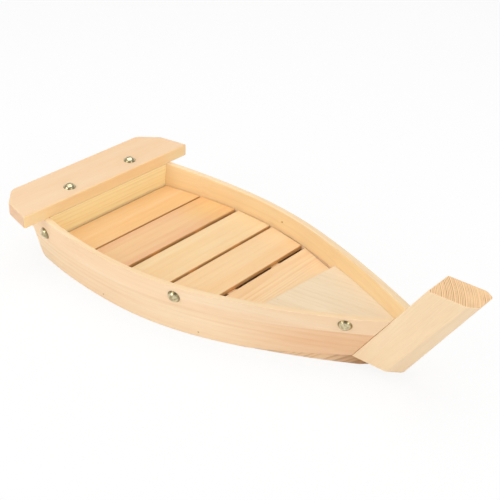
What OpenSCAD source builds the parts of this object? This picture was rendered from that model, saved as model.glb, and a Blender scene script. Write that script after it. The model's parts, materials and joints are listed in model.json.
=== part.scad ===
// Wooden serving boat for sushi: a planked hull with a raked stem, a stern board and a loose slatted deck.
// Millimetres. +X is the bow, +Y is port, +Z is up. The boat stands on z = 0, centred in x and y.
// Inside this file x is counted from the front face of the transom. place() moves it to the middle.

/* [Hull] */
// Outer width of the planking at its widest point, at side_height
beam = 165.8; // [140:0.2:210]
// How far each side closes in from the widest point to the transom
stern_taper = 7.7; // [3:0.1:20]
// From the transom to the widest point
widest_at = 84.4; // [60:1:110]
// From the transom to the back of the stem at its foot
hold_length = 277.9; // [230:0.5:340]
// Lowest height of the planking's top edge
side_height = 46.9; // [43:0.1:60]
// Where along the hull the top edge is lowest
sheer_lowest_at = 140; // [90:1:170]
// Radius of the top edge seen from the side
sheer_radius = 2500; // [1800:10:5000]
// How far the sides lean out, millimetres for each millimetre of height
flare = 0.155; // [0.05:0.005:0.3]
// How far the planking's foot runs behind the transom's front face
quarter_length = 26.8; // [24:0.1:34]
// Lean of the planking's rear end, top aft, degrees
quarter_rake = 13.5; // [0:0.5:14]
// Radius of the lower rear corner of the planking
quarter_radius = 6; // [2:0.5:12]

/* [Planks] */
// Thickness of the upper strakes
plank_thickness = 5.6; // [3.5:0.1:8]
// How far the upper strakes stand proud of the lower ones
strake_step = 0.8; // [0.3:0.1:1.5]
// Width of the upper strakes where the top edge is lowest
upper_strake_width = 18.4; // [15:0.1:24]
// Where along the hull the seam between the strakes is lowest
seam_lowest_at = 41.4; // [-20:0.2:80]
// Radius of the seam between the strakes seen from the side
seam_radius = 4030; // [3000:10:9000]
// How far behind the stem's foot the lower edge of the planking leaves the table
forefoot_run = 73.9; // [58:0.1:98]

/* [Bottom and transom] */
// Thickness of the bottom board
bottom_thickness = 8; // [6:0.5:12]
// Thickness of the transom
transom_thickness = 18.6; // [16:0.2:22]
// How far the bottom board's tip runs forward under the stem
bottom_tip_run = 10; // [6:0.5:14]
// Width of the bottom board's blunt tip
bottom_tip_width = 8; // [4:0.5:14]
// How far the bottom board's edge is set in below the planking at the bow
forefoot_set_in = 0.8; // [0.3:0.1:2]

/* [Stem] */
// Width of the stem
stem_width = 27; // [20:0.2:34]
// Level depth of the stem at its top, back to front
stem_depth = 38.4; // [32:0.2:46]
// Level depth of the stem at its foot
stem_foot_depth = 41.1; // [32:0.1:48]
// Width of the flat on its front, at its top
stem_nose_width = 17.2; // [8:0.2:19]
// Width of that flat at its foot
stem_nose_foot_width = 12.4; // [6:0.2:19]
// Level depth of the chamfers beside it, for each millimetre of their width
stem_chamfer_slope = 1.48; // [0.5:0.02:2]
// Height of the stem from its foot to its top
stem_height = 82.7; // [65:0.1:105]
// Lean of the stem forward of upright, degrees
stem_rake = 35.5; // [25:0.5:42]
// How far the upper strakes stand proud of the stem's sides
bow_lap = 0.3; // [0:0.1:1.5]

/* [Stern board] */
// Width of the stern board across the boat
board_width = 193.4; // [184:0.2:230]
// Length of the stern board along the boat
board_depth = 45.2; // [36:0.1:60]
// Thickness of the stern board
board_thickness = 11; // [8:0.5:14]
// Distance of the board's front edge behind the transom's front face
board_set_back = 0.5; // [0.5:0.1:6]
// How far the board's ends close in from front corner to widest bevel
board_end_taper = 6.2; // [2:0.1:12]
// Length of that first bevel along the boat
board_end_run = 28.1; // [18:0.1:32]
// Width of the rear edge of the board
board_rear_width = 148.6; // [110:0.2:170]
// Radius of the board's rear and end corners
board_corner_radius = 9; // [3:0.5:14]
// Tilt of the stern board, rear edge up, degrees
board_tilt = 3.2; // [0:0.1:4]

/* [Deck] */
// Height of the slats' top
deck_height = 30; // [26:0.5:36]
// Thickness of a slat
slat_thickness = 3.6; // [2.5:0.1:6]
// Width of the first slat along the boat
first_slat_width = 38.4; // [34:0.1:40]
// Width of the second slat
second_slat_width = 39.9; // [34:0.1:41]
// Width of the third slat
third_slat_width = 39.4; // [34:0.1:41]
// Width of the fourth slat
fourth_slat_width = 39.7; // [34:0.1:41]
// Gap between the transom and the first slat, and between the fifth slat and the bow deck
end_gap = 1.6; // [0.8:0.1:2.5]
// Gap between the first and second slats
second_gap = 2; // [0.5:0.1:6]
// Gap between the second and third slats
third_gap = 3.9; // [0.5:0.1:6]
// Gap between the third and fourth slats
fourth_gap = 3.2; // [0.5:0.1:6]
// Gap between the fourth and fifth slats
fifth_gap = 5.1; // [0.5:0.1:6]
// Gap between a slat's end and the planking
slat_end_gap = 0.6; // [0.4:0.1:2]
// Distance of each batten's middle from the centreline
batten_offset = 26.7; // [18:0.1:36]
// Width of a batten
batten_width = 10; // [6:0.5:16]
// How far the battens stop short of the first and fifth slats' outer edges
batten_inset = 6; // [2:0.5:12]

/* [Bow deck] */
// From the transom to the bow deck's rear edge, on the centreline
bow_deck_at = 210.4; // [207:0.1:222]
// Height of the bow deck's rear edge above the slats
bow_deck_step = 4.9; // [3:0.1:8]
// Tilt of the bow deck, up towards the stem, degrees
bow_deck_tilt = 3.5; // [0:0.1:5]
// Thickness of the bow deck
bow_deck_thickness = 8; // [5:0.5:10]
// How far the bow deck's rear edge is out of square, degrees
bow_deck_skew = 5.5; // [0:0.5:6]
// Thickness of the bulkhead under the bow deck
bulkhead_thickness = 8; // [5:0.5:12]
// How far the bulkhead stands in front of the bow deck's rear edge
bulkhead_set_back = 0.5; // [0.5:0.5:6]

/* [Fastenings] */
// Diameter of a tack's head
tack_head_d = 11; // [8:0.1:12]
// Height of a tack's domed head
tack_head_height = 3.6; // [1.5:0.1:4]
// Diameter of a tack's shank
tack_shank_d = 1.8; // [1.2:0.1:2.4]
// How deep the stern tacks go into the transom
tack_bite = 8; // [5:0.5:12]
// Where the stern tacks are along the hull
stern_tack_at = -6.1; // [-11:0.1:-6]
// Where the starboard middle tack is along the hull
mid_tack_starboard_at = 151.2; // [130:0.1:170]
// Where the port middle tack is along the hull
mid_tack_port_at = 140.5; // [130:0.1:170]
// How far the bow tacks are in front of the stem's foot
bow_tack_lead = 1.5; // [-28:0.1:8]
// Depth of the stern tacks below the planking's top edge
stern_tack_drop = 16.7; // [9:0.1:18]
// Depth of the middle tacks below the planking's top edge
mid_tack_drop = 9.7; // [8:0.1:11]
// Depth of the bow tacks below the planking's top edge
bow_tack_drop = 7.5; // [6.5:0.1:9]
// How much wood is left between the bow tacks' points and the inner face
bow_tack_stop = 1.4; // [0.8:0.1:2]
// Distance of the stern board's tacks behind the transom's front face
board_tack_at = -13.7; // [-14.5:0.1:-7]
// Distance of the stern board's tacks from the centreline
board_tack_offset = 35.8; // [20:0.1:55]
// Diameter of the brads in the planking and the deck
brad_d = 1.4; // [1:0.1:2]
// How deep the planking's brads go into the bottom board
brad_bite = 10; // [6:0.5:14]
// How deep the bow deck's brads go into the bulkhead
bow_deck_brad_bite = 8; // [5:0.5:12]
// Distance of the bow deck's brads from the centreline
bow_deck_brad_offset = 22.3; // [10:0.1:30]
// Where the rear planking brads are along the hull
rear_brad_at = 68.5; // [40:0.5:90]
// Where the forward planking brads are along the hull
front_brad_at = 166; // [120:0.5:175]
// Height of the planking's brads
brad_height = 5; // [3:0.1:5.5]
// How deep the deck brads go into a slat
slat_brad_bite = 1.8; // [1:0.1:2.2]
// How far the deck brads are sunk into a batten's underside
slat_brad_sink = 2; // [1:0.1:4]
// Diameter of the nails through the bottom board
nail_d = 2.2; // [1.6:0.1:3]
// Diameter of those nails' heads
nail_head_d = 5; // [4:0.1:6]
// How deep those nails go into the transom and the stem
nail_bite = 12; // [8:0.5:16]
// Distance of the transom's nails from the centreline
transom_nail_offset = 40; // [20:1:55]
// How far in front of the stem's back face its nail runs, at the foot
stem_nail_set_in = 5.4; // [4:0.1:7]
// How far the stem's nail is sunk into the bottom board
stem_nail_sink = 1.8; // [1.6:0.1:3]

/* [Hidden] */
$fn = 64;
plank_stations = 56;
outline_stations = 16;
joint_gap = 0.1;
pin_clearance = 0.05;
cut_margin = 5;
// The bow's plan curve: how hard it turns against the straight line to the stem, and for how much of the way
bow_bend = 1.1;
bow_bend_share = 0.487;

pale_wood = "#F3D5AE";
peach_wood = "#EFC8A0";
orange_wood = "#F6C688";
shade_wood = "#C99A66";
brass = "#9A8A4E";
steel = "#8C8C8C";

rake_run = tan(stem_rake);
stern_radius = (widest_at^2 + stern_taper^2) / (2 * stern_taper);
bow_half = stem_width / 2 + bow_lap;
aft_end = -quarter_length;
forefoot_at = hold_length - forefoot_run;
bow_tack_at = hold_length + bow_tack_lead;
transom_back = -transom_thickness;
board_front = -board_set_back;
stem_top = bottom_thickness + stem_height;
slat_under = deck_height - slat_thickness;
slat_widths = [first_slat_width, second_slat_width, third_slat_width, fourth_slat_width];
slat_gaps = [end_gap, second_gap, third_gap, fourth_gap, fifth_gap];
batten_start = end_gap + batten_inset;
tack_stations_port = [stern_tack_at, mid_tack_port_at, bow_tack_at];
tack_stations_starboard = [stern_tack_at, mid_tack_starboard_at, bow_tack_at];
tack_drops = [stern_tack_drop, mid_tack_drop, bow_tack_drop];
brad_stations = [rear_brad_at, front_brad_at];
board_tack_shank = board_thickness + tack_bite;
bow_deck_brad_length = bow_deck_thickness + bow_deck_brad_bite;
transom_nail_at = -transom_thickness / 2;
transom_nail_length = bottom_thickness + nail_bite;
stem_nail_length = (bottom_thickness - stem_nail_sink) / cos(stem_rake) + nail_bite;

// Side view: the top edge, the seam between the strakes, the lower edge and the back of the stem

function arc_rise(x, lowest_at, radius) = radius - sqrt(radius^2 - (x - lowest_at)^2);
function sheer(x) = side_height + arc_rise(x, sheer_lowest_at, sheer_radius);
seam_low = side_height - upper_strake_width - arc_rise(sheer_lowest_at, seam_lowest_at, seam_radius);
function seam(x) = seam_low + arc_rise(x, seam_lowest_at, seam_radius);
function forefoot(x) = max(0, (x - forefoot_at) * bottom_thickness / forefoot_run);
board_seat = sheer(board_front);
function board_underside(x) = board_seat + (board_front - x) * tan(board_tilt);
function plank_top(x) = x < board_front ? min(sheer(x), board_underside(x)) - joint_gap : sheer(x);
function aft_at(z) = aft_end - z * tan(quarter_rake);
function stem_back(z) = hold_length + max(0, z - bottom_thickness) * rake_run;

// Plan view at height z: an arc from the transom to the widest point, then two tangent arcs to the stem.
// inset counts inward from the outer face, square to the curve.

function half_beam(z) = beam / 2 + flare * (z - side_height);
function half_breadth(x, z, inset = 0) =
    let (widest = half_beam(z))
    x <= widest_at
        ? widest - stern_radius + sqrt((stern_radius - inset)^2 - (x - widest_at)^2)
        : bow_half_breadth(x, z, inset, widest);
function bow_half_breadth(x, z, inset, widest) =
    let (end = stem_back(z),
        turn = bow_bend * atan2(widest - bow_half, end - widest_at),
        run = bow_bend_share * (end - widest_at),
        mid_radius = run / sin(turn),
        join = [widest_at + run, widest - mid_radius * (1 - cos(turn))],
        tail = atan2(join.y - bow_half, end - join.x),
        bow_radius = norm([end - join.x, join.y - bow_half]) / (2 * sin(tail - turn)),
        centre = join - bow_radius * [sin(turn), cos(turn)])
    x <= join.x - inset * sin(turn)
        ? widest - mid_radius + sqrt((mid_radius - inset)^2 - (x - widest_at)^2)
        : centre.y + sqrt((bow_radius - inset)^2 - (x - centre.x)^2);

// Where an edge that climbs along the hull meets the back of the stem
function meets_stem(height, x = hold_length, tries = 6) =
    tries == 0 ? x : meets_stem(height, stem_back(height(x)) - joint_gap, tries - 1);

// The unit vector square to the port planking's outer face
function wall_normal(x, z) =
    let (along = (half_breadth(x + 1, z) - half_breadth(x - 1, z)) / 2,
        up = (half_breadth(x, z + 1) - half_breadth(x, z - 1)) / 2,
        square = [-along, 1, -up])
    square / norm(square);

// Helpers

module place() {
    rear = board_front - board_depth;
    front = hold_length + stem_height * rake_run + stem_depth;
    translate([-(rear + front) / 2, 0, 0]) children();
}

// Port pieces as written, starboard pieces mirrored
module on_side(side) {
    if (side == "port") children();
    else mirror([0, 1, 0]) children();
}

// A side-view outline, points as [x, z], drawn right across the boat
module across(width) {
    translate([0, width / 2, 0]) rotate([90, 0, 0]) linear_extrude(width) children();
}

// A tube of four-sided rings, closed at both ends
module lofted_plank(rings) {
    last = len(rings) - 1;
    points = [for (ring = rings) each ring];
    sides = [for (i = [0 : last - 1], k = [0 : 3])
        let (a = 4 * i + k, b = 4 * i + (k + 1) % 4)
        each [[a, b, a + 4], [b, b + 4, a + 4]]];
    polyhedron(points, concat(sides, [[3, 2, 1, 0], [for (k = [0 : 3]) 4 * last + k]]), convexity = 6);
}

// A plank between two edges that are functions of x, from the stern to the back of the stem
module plank(low, high, outer_inset) {
    low_aft = aft_at(low(aft_end));
    high_aft = aft_at(high(aft_end));
    low_end = meets_stem(low);
    high_end = meets_stem(high);
    lofted_plank([for (i = [0 : plank_stations])
        let (share = i / plank_stations,
            low_x = low_aft + share * (low_end - low_aft),
            high_x = high_aft + share * (high_end - high_aft),
            low_z = low(low_x),
            high_z = high(high_x))
        [[low_x, half_breadth(low_x, low_z, plank_thickness), low_z],
            [low_x, half_breadth(low_x, low_z, outer_inset), low_z],
            [high_x, half_breadth(high_x, high_z, outer_inset), high_z],
            [high_x, half_breadth(high_x, high_z, plank_thickness), high_z]]]);
}

// A ring right across the boat whose ends follow the planking's inner faces, gap away from them.
// The two sides may stand at different x. Its low and high edges are functions of x.
function ring_corner(x, z, gap, side) = [x, side * half_breadth(x, z, plank_thickness + gap), z];
function cross_ring(port_x, starboard_x, low, high, gap) =
    [ring_corner(starboard_x, low(starboard_x), gap, -1), ring_corner(port_x, low(port_x), gap, 1),
        ring_corner(port_x, high(port_x), gap, 1), ring_corner(starboard_x, high(starboard_x), gap, -1)];

// The plan outline between two stations at one height, both sides
module hull_outline(rear, front, z, inset) {
    xs = [for (i = [0 : outline_stations]) rear + (front - rear) * i / outline_stations];
    port = [for (x = xs) [x, half_breadth(x, z, inset)]];
    starboard = [for (i = [outline_stations : -1 : 0]) [xs[i], -half_breadth(xs[i], z, inset)]];
    polygon(concat(port, starboard));
}

// Puts a piece drawn along +Z on the port planking's outer face, pointing outward
module on_wall(x, z, inset = 0) {
    n = wall_normal(x, z);
    translate([x, half_breadth(x, z, inset), z])
        rotate([0, acos(n.z), atan2(n.y, n.x)]) children();
}

// Puts a piece drawn along +Z on top of the stern board
module on_stern_board(x, y) {
    translate([board_front, 0, board_seat]) rotate([0, board_tilt, 0])
        translate([x - board_front, y, board_thickness]) children();
}

// A pointed shank from z = 0 down
module shank(d, length) {
    point = min(1.5 * d, length / 2);
    translate([0, 0, point - length]) cylinder(h = length - point, d = d);
    translate([0, 0, -length]) cylinder(h = point, d1 = d / 4, d2 = d);
}

module shank_hole(d, length) {
    translate([0, 0, -length]) cylinder(h = length + cut_margin, d = d + 2 * pin_clearance);
}

// A domed tack with its head's underside at z = 0
module tack(length) {
    dome_radius = ((tack_head_d / 2)^2 + tack_head_height^2) / (2 * tack_head_height);
    rotate_extrude() intersection() {
        translate([0, tack_head_height - dome_radius]) circle(dome_radius, $fn = 128);
        square([tack_head_d / 2, tack_head_height]);
    }
    shank(tack_shank_d, length);
}

function tack_height(x, drop) = plank_top(x) - drop;
// The stern tacks reach the transom, the middle ones the planking's inner face, the bow ones stop short of it
tack_lengths = [plank_thickness + tack_bite, plank_thickness, plank_thickness - bow_tack_stop];

module side_tack_places(stations) {
    for (i = [0 : len(stations) - 1])
        on_wall(stations[i], tack_height(stations[i], tack_drops[i])) {
            $tack_length = tack_lengths[i];
            children();
        }
}

module strake_brad_places() {
    for (x = brad_stations) on_wall(x, brad_height, strake_step) children();
}

module board_tack_places() {
    for (side = [-1, 1]) on_stern_board(board_tack_at, side * board_tack_offset) children();
}

// Hull

// Side view of what the rounding takes off the planking's lower rear corner
module quarter_corner() {
    reach = quarter_radius + cut_margin;
    translate([aft_end + quarter_radius * tan((90 - quarter_rake) / 2), quarter_radius]) difference() {
        polygon([[0, 0], [0, -reach], [-2 * reach, -reach], -reach * [cos(quarter_rake), sin(quarter_rake)]]);
        circle(quarter_radius);
    }
}

module lower_strake(side) {
    color(peach_wood) place() on_side(side) difference() {
        plank(function (x) forefoot(x) + (x > forefoot_at ? joint_gap : 0),
            function (x) seam(x) - joint_gap, strake_step);
        across(2 * beam) quarter_corner();
        strake_brad_places() shank_hole(brad_d, brad_bite);
    }
}

module upper_strake(side, stations) {
    color(pale_wood) place() on_side(side) difference() {
        plank(function (x) seam(x), function (x) plank_top(x), 0);
        side_tack_places(stations) shank_hole(tack_shank_d, $tack_length);
    }
}

module transom() {
    color(orange_wood) place() difference() {
        lofted_plank([for (x = [transom_back, 0])
            cross_ring(x, x, function (x) bottom_thickness, function (x) board_underside(x) - joint_gap,
                joint_gap)]);
        for (side = ["port", "starboard"]) on_side(side)
            side_tack_places([stern_tack_at]) shank_hole(tack_shank_d, $tack_length);
        board_tack_places() shank_hole(tack_shank_d, board_tack_shank);
        transom_nail_places() nail_hole(transom_nail_length);
    }
}

// The board's edges lie inside the planking. At the bow they run out under the planking's lower edge,
// and the tip under the stem is cut to a blunt point.
module bottom_board() {
    tip = hold_length + bottom_tip_run;
    color(shade_wood) place() difference() {
        intersection() {
            union() {
                linear_extrude(bottom_thickness)
                    hull_outline(transom_back, tip, 0, plank_thickness + joint_gap);
                intersection() {
                    linear_extrude(bottom_thickness)
                        hull_outline(forefoot_at, tip, 0, strake_step + forefoot_set_in);
                    across(2 * beam) polygon([[forefoot_at, 0], [hold_length, bottom_thickness],
                        [tip, bottom_thickness], [tip, 0]]);
                }
            }
            linear_extrude(bottom_thickness) polygon([
                [transom_back, -beam], [hold_length, -beam], [hold_length, -bow_half],
                [tip, -bottom_tip_width / 2], [tip, bottom_tip_width / 2],
                [hold_length, bow_half], [hold_length, beam], [transom_back, beam]]);
        }
        for (side = ["port", "starboard"]) on_side(side) strake_brad_places() shank_hole(brad_d, brad_bite);
        transom_nail_places() nail_hole(transom_nail_length);
        stem_nail_place() nail_hole(stem_nail_length);
    }
}

// The stem's corners at one height
function stem_ring(z, depth, nose) =
    let (back = stem_back(z), half = stem_width / 2, chamfer = (half - nose / 2) * stem_chamfer_slope)
    [[back, -half, z], [back + depth - chamfer, -half, z], [back + depth, -nose / 2, z],
        [back + depth, nose / 2, z], [back + depth - chamfer, half, z], [back, half, z]];

module stem() {
    foot = stem_ring(bottom_thickness, stem_foot_depth, stem_nose_foot_width);
    top = stem_ring(stem_top, stem_depth, stem_nose_width);
    count = len(foot);
    sides = [for (i = [0 : count - 1]) let (next = (i + 1) % count) [i, count + i, count + next, next]];
    color(pale_wood) place() difference() {
        polyhedron(concat(foot, top), concat(sides,
            [[for (i = [0 : count - 1]) i], [for (i = [count - 1 : -1 : 0]) count + i]]));
        stem_nail_place() nail_hole(stem_nail_length);
    }
}

// The board's outline is drawn on past its front edge, so that only the other corners get rounded
module board_outline() {
    rear_half = board_rear_width / 2;
    bevel_half = board_width / 2 - board_end_taper;
    over_half = board_width / 2 + board_end_taper;
    intersection() {
        offset(r = board_corner_radius) offset(delta = -board_corner_radius) polygon([
            [board_end_run, -over_half], [board_end_run, over_half],
            [-board_end_run, bevel_half], [-board_depth, rear_half],
            [-board_depth, -rear_half], [-board_end_run, -bevel_half]]);
        translate([-board_depth, -board_width]) square([board_depth, 2 * board_width]);
    }
}

module stern_board() {
    color(pale_wood) place() difference() {
        translate([board_front, 0, board_seat]) rotate([0, board_tilt, 0])
            linear_extrude(board_thickness) board_outline();
        board_tack_places() shank_hole(tack_shank_d, board_tack_shank);
    }
}

// Bow deck and the bulkhead that carries its rear edge

function bow_deck_rear(y) = bow_deck_at + y * tan(bow_deck_skew);
function bow_deck_top(x) = deck_height + bow_deck_step + (x - bow_deck_at) * tan(bow_deck_tilt);
function bow_deck_under(x) = bow_deck_top(x) - bow_deck_thickness;

module bow_deck() {
    half = half_breadth(bow_deck_at, bow_deck_top(bow_deck_at), plank_thickness);
    port_rear = bow_deck_rear(half);
    starboard_rear = bow_deck_rear(-half);
    tip = meets_stem(function (x) bow_deck_top(x));
    color(pale_wood) place() difference() {
        lofted_plank([for (i = [0 : outline_stations])
            let (share = i / outline_stations)
            cross_ring(port_rear + (tip - port_rear) * share, starboard_rear + (tip - starboard_rear) * share,
                function (x) bow_deck_under(x), function (x) bow_deck_top(x), joint_gap)]);
        across(2 * beam) polygon([[stem_back(bottom_thickness) - joint_gap, bottom_thickness],
            [stem_back(stem_top) - joint_gap, stem_top], [stem_back(stem_top), bottom_thickness]]);
        bow_deck_brad_places() shank_hole(brad_d, bow_deck_brad_length);
    }
}

// Where a line in front of the bow deck's rear edge, in line with it, meets the planking
function skew_corner(step, height, side, x = bow_deck_at, tries = 6) =
    let (corner = ring_corner(x, height(x), joint_gap, side))
    tries == 0 ? corner : skew_corner(step, height, side, bow_deck_rear(corner.y) + step, tries - 1);

module bow_bulkhead() {
    low = function (x) bottom_thickness;
    high = function (x) bow_deck_under(x) - joint_gap;
    color(shade_wood) place() difference() {
        lofted_plank([for (step = [bulkhead_set_back, bulkhead_set_back + bulkhead_thickness])
            [skew_corner(step, low, -1), skew_corner(step, low, 1),
                skew_corner(step, high, 1), skew_corner(step, high, -1)]]);
        bow_deck_brad_places() shank_hole(brad_d, bow_deck_brad_length);
    }
}

module bow_deck_brad_places() {
    for (side = [-1, 1]) {
        y = side * bow_deck_brad_offset;
        x = bow_deck_rear(y) + bulkhead_set_back + bulkhead_thickness / 2;
        translate([x, y, bow_deck_top(x)]) rotate([0, -bow_deck_tilt, 0]) children();
    }
}

// Deck grate

function slat_rear(index) =
    index == 0 ? slat_gaps[0] : slat_rear(index - 1) + slat_widths[index - 1] + slat_gaps[index];

// The fifth slat's front edge follows the bow deck
function slat_front(index, side) =
    index < len(slat_widths) ? slat_rear(index) + slat_widths[index]
        : bow_deck_rear(side * half_breadth(bow_deck_at, deck_height, plank_thickness)) - end_gap;

module deck_slat(index) {
    rear = slat_rear(index);
    color(orange_wood) place() difference() {
        lofted_plank([for (xs = [[rear, rear], [slat_front(index, 1), slat_front(index, -1)]])
            cross_ring(xs[0], xs[1], function (x) slat_under, function (x) deck_height, slat_end_gap)]);
        slat_brad_places(index) shank_hole(brad_d, slat_brad_length());
    }
}

// A batten is trimmed where the planking closes in on it
module deck_batten(side) {
    batten_end = slat_front(len(slat_widths), -1) - batten_inset;
    color(shade_wood) place() on_side(side) difference() {
        intersection() {
            translate([batten_start, batten_offset - batten_width / 2, bottom_thickness])
                cube([batten_end - batten_start, batten_width, slat_under - bottom_thickness]);
            linear_extrude(deck_height) hull_outline(batten_start - cut_margin, batten_end + cut_margin,
                bottom_thickness, plank_thickness + slat_end_gap);
        }
        for (index = [0 : len(slat_widths)]) slat_brad_places(index) shank_hole(brad_d, slat_brad_length());
    }
}

function slat_brad_at(index) = (slat_rear(index) + slat_front(index, -1)) / 2;
function slat_brad_length() = slat_under - bottom_thickness - slat_brad_sink + slat_brad_bite;

// Deck brads point upward from the battens' underside, so their shanks are drawn upside down
module slat_brad_places(index) {
    for (side = [-1, 1])
        translate([slat_brad_at(index), side * batten_offset, bottom_thickness + slat_brad_sink])
            rotate([180, 0, 0]) children();
}

// Nails

module nail(length) {
    shank(nail_d, length);
    translate([0, 0, -nail_d]) cylinder(h = nail_d, d1 = nail_d, d2 = nail_head_d);
}

module nail_hole(length) {
    shank_hole(nail_d, length);
    translate([0, 0, -nail_d]) cylinder(h = nail_d,
        d1 = nail_d + 2 * pin_clearance, d2 = nail_head_d + 2 * pin_clearance);
    cylinder(h = cut_margin, d = nail_head_d + 2 * pin_clearance);
}

module transom_nail_places() {
    for (side = [-1, 1])
        translate([transom_nail_at, side * transom_nail_offset, 0]) rotate([180, 0, 0]) children();
}

// The stem's nail follows the rake, with its head below the surface
module stem_nail_place() {
    head_at = hold_length + stem_nail_set_in - (bottom_thickness - stem_nail_sink) * rake_run;
    translate([head_at, 0, stem_nail_sink]) rotate([0, 180 + stem_rake, 0]) children();
}

// Fastenings as pieces

module side_tacks(side, stations) {
    color(brass) place() on_side(side) side_tack_places(stations) tack($tack_length);
}

module stern_board_tacks() {
    color(brass) place() board_tack_places() tack(board_tack_shank);
}

module strake_brads(side) {
    color(steel) place() on_side(side) strake_brad_places() shank(brad_d, brad_bite);
}

module bow_deck_brads() {
    color(steel) place() bow_deck_brad_places() shank(brad_d, bow_deck_brad_length);
}

module slat_brads() {
    color(steel) place() for (index = [0 : len(slat_widths)])
        slat_brad_places(index) shank(brad_d, slat_brad_length());
}

module transom_nails() {
    color(steel) place() transom_nail_places() nail(transom_nail_length);
}

module stem_nail() {
    color(steel) place() stem_nail_place() nail(stem_nail_length);
}

bottom_board();
lower_strake("port");  // lower_strake_port
lower_strake("starboard");  // lower_strake_starboard
upper_strake("port", tack_stations_port);  // upper_strake_port
upper_strake("starboard", tack_stations_starboard);  // upper_strake_starboard
transom();
stern_board();
stem();
bow_deck();
bow_bulkhead();
deck_slat(0);  // deck_slat_1
deck_slat(1);  // deck_slat_2
deck_slat(2);  // deck_slat_3
deck_slat(3);  // deck_slat_4
deck_slat(4);  // deck_slat_5
deck_batten("port");  // deck_batten_port
deck_batten("starboard");  // deck_batten_starboard
slat_brads();
side_tacks("port", tack_stations_port);  // side_tacks_port
side_tacks("starboard", tack_stations_starboard);  // side_tacks_starboard
stern_board_tacks();
strake_brads("port");  // strake_brads_port
strake_brads("starboard");  // strake_brads_starboard
bow_deck_brads();
transom_nails();
stem_nail();
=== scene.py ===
# %% [markdown]
# # Wooden sushi boat
# A small serving boat in pale softwood: two planks a side, a raked stem, a stern board and a loose deck of
# slats. The CAD model gives every piece its place and size. This file dresses it: eased edges, grain, end
# grain and brass. Each cell makes one thing and prints what it made.
# Lengths are in metres, so sizes written in mm are times MM.

# %% Load the frame
import json
import math

import bmesh
import bpy
from mathutils import Euler, Matrix, Vector
from mathutils.bvhtree import BVHTree

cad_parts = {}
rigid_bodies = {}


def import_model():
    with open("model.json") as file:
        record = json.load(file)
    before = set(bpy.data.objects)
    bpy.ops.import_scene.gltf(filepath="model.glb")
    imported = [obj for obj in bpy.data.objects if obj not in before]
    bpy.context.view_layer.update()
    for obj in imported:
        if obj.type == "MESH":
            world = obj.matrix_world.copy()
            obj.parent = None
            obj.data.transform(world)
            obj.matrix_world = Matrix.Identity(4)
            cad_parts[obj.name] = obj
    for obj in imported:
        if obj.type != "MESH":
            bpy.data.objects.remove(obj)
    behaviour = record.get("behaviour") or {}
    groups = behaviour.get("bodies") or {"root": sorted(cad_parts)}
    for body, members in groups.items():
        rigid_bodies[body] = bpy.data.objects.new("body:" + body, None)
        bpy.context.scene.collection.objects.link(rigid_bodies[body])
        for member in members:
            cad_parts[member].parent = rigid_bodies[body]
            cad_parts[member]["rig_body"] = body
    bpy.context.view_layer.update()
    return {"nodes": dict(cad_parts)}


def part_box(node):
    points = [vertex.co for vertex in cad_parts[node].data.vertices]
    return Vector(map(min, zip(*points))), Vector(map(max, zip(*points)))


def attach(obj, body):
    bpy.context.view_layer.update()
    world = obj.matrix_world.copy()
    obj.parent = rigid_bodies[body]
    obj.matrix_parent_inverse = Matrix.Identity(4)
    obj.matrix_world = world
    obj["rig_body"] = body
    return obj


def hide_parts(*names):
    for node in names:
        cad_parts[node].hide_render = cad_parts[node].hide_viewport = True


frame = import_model()
MM = 0.001
print("CAD nodes:", len(frame["nodes"]))

# %% [markdown]
# ## The view
# The photograph looks down on the boat from beyond its bow, a little more than half way to the side.
# A camera is easiest to set by a target, two angles and a distance, because these are what one judges by eye.
# The lens follows from how much the far stern shrinks against the near stem.

# %% Camera
TARGET = Vector((-0.3, 0.0, 51.1)) * MM
AZIMUTH = math.radians(41.04)
ELEVATION = math.radians(30.27)
DISTANCE = 837 * MM
LENS = 74.95

backward = Vector((math.sin(AZIMUTH) * math.cos(ELEVATION),
                   -math.cos(AZIMUTH) * math.cos(ELEVATION),
                   math.sin(ELEVATION)))
camera = bpy.data.objects.new("camera", bpy.data.cameras.new("camera"))
camera.data.lens = LENS
camera.data.sensor_width = 36
camera.location = TARGET + backward * DISTANCE
camera.rotation_euler = backward.to_track_quat("Z", "Y").to_euler()
bpy.context.scene.collection.objects.link(camera)
bpy.context.scene.camera = camera
bpy.context.scene.view_settings.view_transform = "Standard"
print("camera at mm:", [round(c / MM) for c in camera.location])

# %% [markdown]
# ## Building materials from nodes
# A node tree is a list of boxes and wires. One small helper that adds a box and plugs its inputs keeps the
# recipes below short: a plain value is typed into the socket, and another node's output is wired to it.
# Colours are written as on a paint card, in sRGB, and turned into the linear light that shaders work in.

# %% Node helpers
def add(tree, kind, inputs=None, **settings):
    """Adds a node, sets its options, and fills its inputs with values or wires."""
    node = tree.nodes.new(kind)
    for option, value in settings.items():
        setattr(node, option, value)
    for socket, value in (inputs or {}).items():
        if isinstance(value, bpy.types.NodeSocket):
            tree.links.new(value, node.inputs[socket])
        else:
            node.inputs[socket].default_value = value
    return node


def paint(code):
    """A paint-card colour such as "#F3D7B0" as linear red, green, blue and alpha."""
    shares = [int(code[i:i + 2], 16) / 255 for i in (1, 3, 5)]
    linear = [c / 12.92 if c <= 0.04045 else ((c + 0.055) / 1.055) ** 2.4 for c in shares]
    return (*linear, 1.0)


def math_node(tree, operation, a, b=0.0):
    """The wire that holds a sum, a product or the like of two numbers."""
    return add(tree, "ShaderNodeMath", {0: a, 1: b}, operation=operation).outputs[0]


def ramp(tree, value, low, high, to_low=0.0, to_high=1.0):
    """Turns the span low to high of a value into to_low to to_high, with soft ends."""
    spread = add(tree, "ShaderNodeMapRange", {"Value": value, "From Min": low, "From Max": high,
                                              "To Min": to_low, "To Max": to_high},
                 interpolation_type="SMOOTHSTEP")
    return spread.outputs["Result"]


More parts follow.
